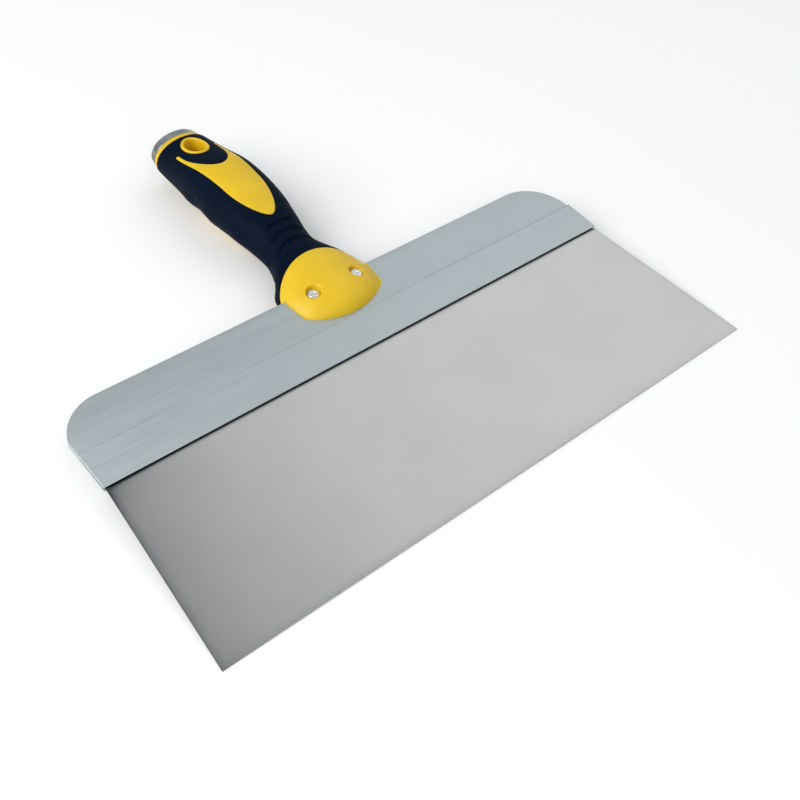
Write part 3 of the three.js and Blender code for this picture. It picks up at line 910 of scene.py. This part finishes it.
def yellow_plastic():
    material, nodes, links, shader = new_material("yellow_plastic")
    broad = spread(nodes, links, noise(nodes, links, 60, 2), 0, 1)
    colour = mix_colours(nodes, links, broad, *YELLOW)
    links.new(colour, shader.inputs["Base Color"])
    gloss = spread(nodes, links, noise(nodes, links, 900, 3), 0.34, 0.46)
    links.new(gloss, shader.inputs["Roughness"])
    shader.inputs["Specular IOR Level"].default_value = 0.36
    shader.inputs["Subsurface Weight"].default_value = 0.12
    shader.inputs["Subsurface Radius"].default_value = (0.0030, 0.0016, 0.0004)
    shader.inputs["Subsurface Scale"].default_value = 0.6
    flow = bump(nodes, links, noise(nodes, links, 350, 2), 0.10, 0.0004)
    fine = bump(nodes, links, noise(nodes, links, 2600, 2), 0.06, 0.0001, flow)
    links.new(fine, shader.inputs["Normal"])
    return material


def navy_rubber():
    material, nodes, links, shader = new_material("navy_rubber")
    broad = spread(nodes, links, noise(nodes, links, 45, 4), 0, 1)
    colour = mix_colours(nodes, links, broad, *NAVY)
    links.new(colour, shader.inputs["Base Color"])
    shader.inputs["Specular IOR Level"].default_value = 0.05
    gloss = spread(nodes, links, noise(nodes, links, 400, 4), 0.52, 0.66)
    links.new(gloss, shader.inputs["Roughness"])
    grain = bump(nodes, links, noise(nodes, links, 3800, 2), 0.22, 0.00012)
    links.new(grain, shader.inputs["Normal"])
    return material


def brushed_aluminium():
    material, nodes, links, shader = new_material("brushed_aluminium")
    shader.inputs["Metallic"].default_value = 1.0
    lines = noise(nodes, links, 1800, 4, (0.012, 1, 1), 0.65)
    patches = spread(nodes, links, noise(nodes, links, 150, 5, (0.35, 1, 1), 0.6), 0, 1)
    streaks = spread(nodes, links, lines, 0, 1, 0.25, 0.75)
    base = mix_colours(nodes, links, patches, *ALUMINIUM)
    colour = mix_colours(nodes, links, streaks, base, ALUMINIUM_STREAK)
    links.new(colour, shader.inputs["Base Color"])
    links.new(spread(nodes, links, lines, 0.50, 0.64), shader.inputs["Roughness"])
    links.new(bump(nodes, links, lines, 0.16, 0.00008), shader.inputs["Normal"])
    return material


def math_node(nodes, links, operation, *values):
    """One math node. Each value is a number or another node's output."""
    node = nodes.new("ShaderNodeMath")
    node.operation = operation
    for socket, value in zip(node.inputs, values):
        if isinstance(value, (int, float)):
            socket.default_value = value
        else:
            links.new(value, socket)
    return node.outputs["Value"]


def fading(nodes, links, distance, length, strength):
    """A value that dies away with distance: strength at 0, and about a third of it at length."""
    power = math_node(nodes, links, "MULTIPLY", distance, -1 / length)
    return math_node(nodes, links, "MULTIPLY", math_node(nodes, links, "EXPONENT", power), strength)


def blade_shadow_and_darkening(nodes, links):
    """Darkening of the blade: a painted shadow in a line along the strip, lines along its left edge and its
    working edge, and a soft dark patch that starts in the corner of the first two and thins out down the
    left edge."""
    x, y, _ = place_axes(nodes, links).values()
    held = LIE @ Vector((-BLADE_STRIP_WIDTH / 2, -STRIP_HEIGHT, BLADE_FRONT_Z))
    edge = LIE @ Vector((-BLADE_EDGE_WIDTH / 2, BLADE_EDGE_Y, BLADE_FRONT_Z))
    flare = (held.x - edge.x) / (held.y - edge.y)
    slope = math_node(nodes, links, "MULTIPLY_ADD", y, -flare, flare * held.y - held.x)
    from_side = math_node(nodes, links, "ADD", x, slope)
    from_strip = math_node(nodes, links, "MULTIPLY_ADD", y, -1.0, held.y)
    from_edge = math_node(nodes, links, "ADD", y, -edge.y)
    corner = math_node(nodes, links, "ADD", fading(nodes, links, from_strip, *CORNER_DARK_PATCH), SIDE_DARK_PATCH)
    dark_patch = math_node(nodes, links, "MULTIPLY", fading(nodes, links, from_side, DARK_PATCH_REACH, 1.0), corner)
    patchy = spread(nodes, links, noise(nodes, links, 90, 3), 0.85, 1.1)
    darkening = math_node(nodes, links, "MULTIPLY", dark_patch, patchy)
    squared = math_node(nodes, links, "MULTIPLY", from_strip, from_strip)
    # The line along the strip is a painted shadow, the shade under the strip's lower edge.
    reach, strength = STRIP_SHADOW_LINE
    for line in (
        fading(nodes, links, squared, reach**2, strength),
        fading(nodes, links, from_side, *SIDE_LINE),
        fading(nodes, links, from_edge, *EDGE_LINE),
    ):
        darkening = math_node(nodes, links, "ADD", darkening, line)
    return math_node(nodes, links, "MINIMUM", darkening, DARKENING_LIMIT)


def satin_steel():
    material, nodes, links, shader = new_material("satin_steel")
    shader.inputs["Metallic"].default_value = 1.0
    lines = noise(nodes, links, 1500, 2, (1, 0.02, 1), 0.5)
    clouds = spread(nodes, links, noise(nodes, links, 22, 4), 0, 1)
    base = mix_colours(nodes, links, clouds, *STEEL)
    colour = mix_colours(nodes, links, blade_shadow_and_darkening(nodes, links), base, BLADE_DARK_TONE)
    links.new(colour, shader.inputs["Base Color"])
    links.new(spread(nodes, links, lines, 0.275, 0.325), shader.inputs["Roughness"])
    links.new(bump(nodes, links, lines, 0.012, 0.00004), shader.inputs["Normal"])
    return material


def bright_metal(name, colour, low, high, scale, wear, darkening=None):
    """Smooth metal with worn patches. With darkening, (low z, high z) over the bench, a painted shade
    darkens the metal from the higher height down to the lower one."""
    material, nodes, links, shader = new_material(name)
    shader.inputs["Metallic"].default_value = 1.0
    worn = spread(nodes, links, noise(nodes, links, scale, 4), 0, 1)
    shown = mix_colours(nodes, links, worn, colour, tuple(c * wear for c in colour))
    if darkening:
        # Painted shade: the metal is darker lower down, standing in for a dark reflection.
        painted_shade = spread(nodes, links, place_axes(nodes, links)["Z"], 0.8, 0, *darkening)
        shown = mix_colours(nodes, links, painted_shade, shown, CAP_PAINTED_SHADE)
    links.new(shown, shader.inputs["Base Color"])
    gloss = spread(nodes, links, noise(nodes, links, scale * 3, 3), low, high)
    links.new(gloss, shader.inputs["Roughness"])
    dents = bump(nodes, links, noise(nodes, links, scale * 2, 3), 0.04, 0.0001)
    links.new(dents, shader.inputs["Normal"])
    return material


def floor_material():
    material, nodes, links, shader = new_material("floor")
    tone = spread(nodes, links, noise(nodes, links, 3, 2), 0, 1)
    links.new(mix_colours(nodes, links, tone, *FLOOR), shader.inputs["Base Color"])
    shader.inputs["Roughness"].default_value = 0.9
    return material


# ---- studio -------------------------------------------------------------------------------------

# The camera stands still over the knife, so its place is given in the knife's flat frame.
CAMERA_AT = Vector((-264.10, -280.555, 374.153))
CAMERA_AIM = Vector((-12.70, -70.702, -7.784))
CAMERA_ROLL = math.radians(12.39)
CAMERA_LENS = 50.79
SENSOR_WIDTH = 36

# Lights over the bench: name, place, aim, size, watts.
LIGHTS = (
    ("key", (-1.30, 0.15, 1.05), (0, 0, 0), (1.2, 1.2), 22),
    ("card", (0.84, 0.04, 0.80), (0, -0.09, 0), (1.56, 1.15), 3.05),
    ("fill", (-0.5, -1.2, 1.0), (0, 0, 0), (1.0, 1.0), 4),
)
SKY_COLOUR = (0.88, 0.94, 1.0, 1)
SKY_STRENGTH = 0.49
FLOOR_REACH = 3


def facing(at, aim):
    """Turn of a camera or light at one point that looks at another."""
    return (Vector(aim) - Vector(at)).to_track_quat("-Z", "Y").to_matrix().to_4x4()


def make_camera():
    data = bpy.data.cameras.new("camera")
    data.lens = CAMERA_LENS
    data.sensor_width = SENSOR_WIDTH
    data.clip_start = 0.01
    camera = bpy.data.objects.new("camera", data)
    bpy.context.scene.collection.objects.link(camera)
    tilt = LIE.to_quaternion().to_matrix().to_4x4()
    carried = tilt @ facing(CAMERA_AT, CAMERA_AIM) @ Matrix.Rotation(CAMERA_ROLL, 4, "Z")
    camera.matrix_world = Matrix.Translation(LIE @ CAMERA_AT) @ carried
    bpy.context.scene.camera = camera


def area_light(name, at, aim, size, power):
    data = bpy.data.lights.new(name, "AREA")
    data.shape = "RECTANGLE"
    data.size, data.size_y = size
    data.energy = power
    light = bpy.data.objects.new(name, data)
    bpy.context.scene.collection.objects.link(light)
    light.matrix_world = Matrix.Translation(at) @ facing(at, aim)


def make_studio():
    corners = [(FLOOR_REACH * x, FLOOR_REACH * y, 0) for x, y in ((-1, -1), (1, -1), (1, 1), (-1, 1))]
    floor = new_object("floor", corners, [(0, 1, 2, 3)])
    floor.data.materials.append(floor_material())
    world = bpy.data.worlds.new("world")
    bpy.context.scene.world = world
    world.use_nodes = True
    background = world.node_tree.nodes["Background"]
    background.inputs["Color"].default_value = SKY_COLOUR
    background.inputs["Strength"].default_value = SKY_STRENGTH
    for light in LIGHTS:
        area_light(*light)
    bpy.context.scene.view_settings.view_transform = "Standard"


# ---- build --------------------------------------------------------------------------------------

make_camera()
make_studio()
finish_piece(make_blade(), satin_steel(), ["blade"])
finish_piece(make_strip(), brushed_aluminium(), ["backing_strip"])
finish_piece(make_core(), yellow_plastic(), ["handle_core"], sharp=50)
finish_piece(make_grip(), navy_rubber(), ["soft_grip"], sharp=55)
rivet_metal = bright_metal("rivet_metal", RIVET_STEEL, 0.28, 0.44, 700, 0.8)
finish_piece(make_rivet("rivet_left_shown", -RIVET_X), rivet_metal, ["rivet_left"])
finish_piece(make_rivet("rivet_right_shown", RIVET_X), rivet_metal, ["rivet_right"])
# The cap's lower flank gets a painted shade.
cap_steel = bright_metal("cap_steel", CAP_STEEL, 0.22, 0.38, 260, 0.6, CAP_SHADE_Z)
finish_piece(make_cap(), cap_steel, ["butt_cap"])
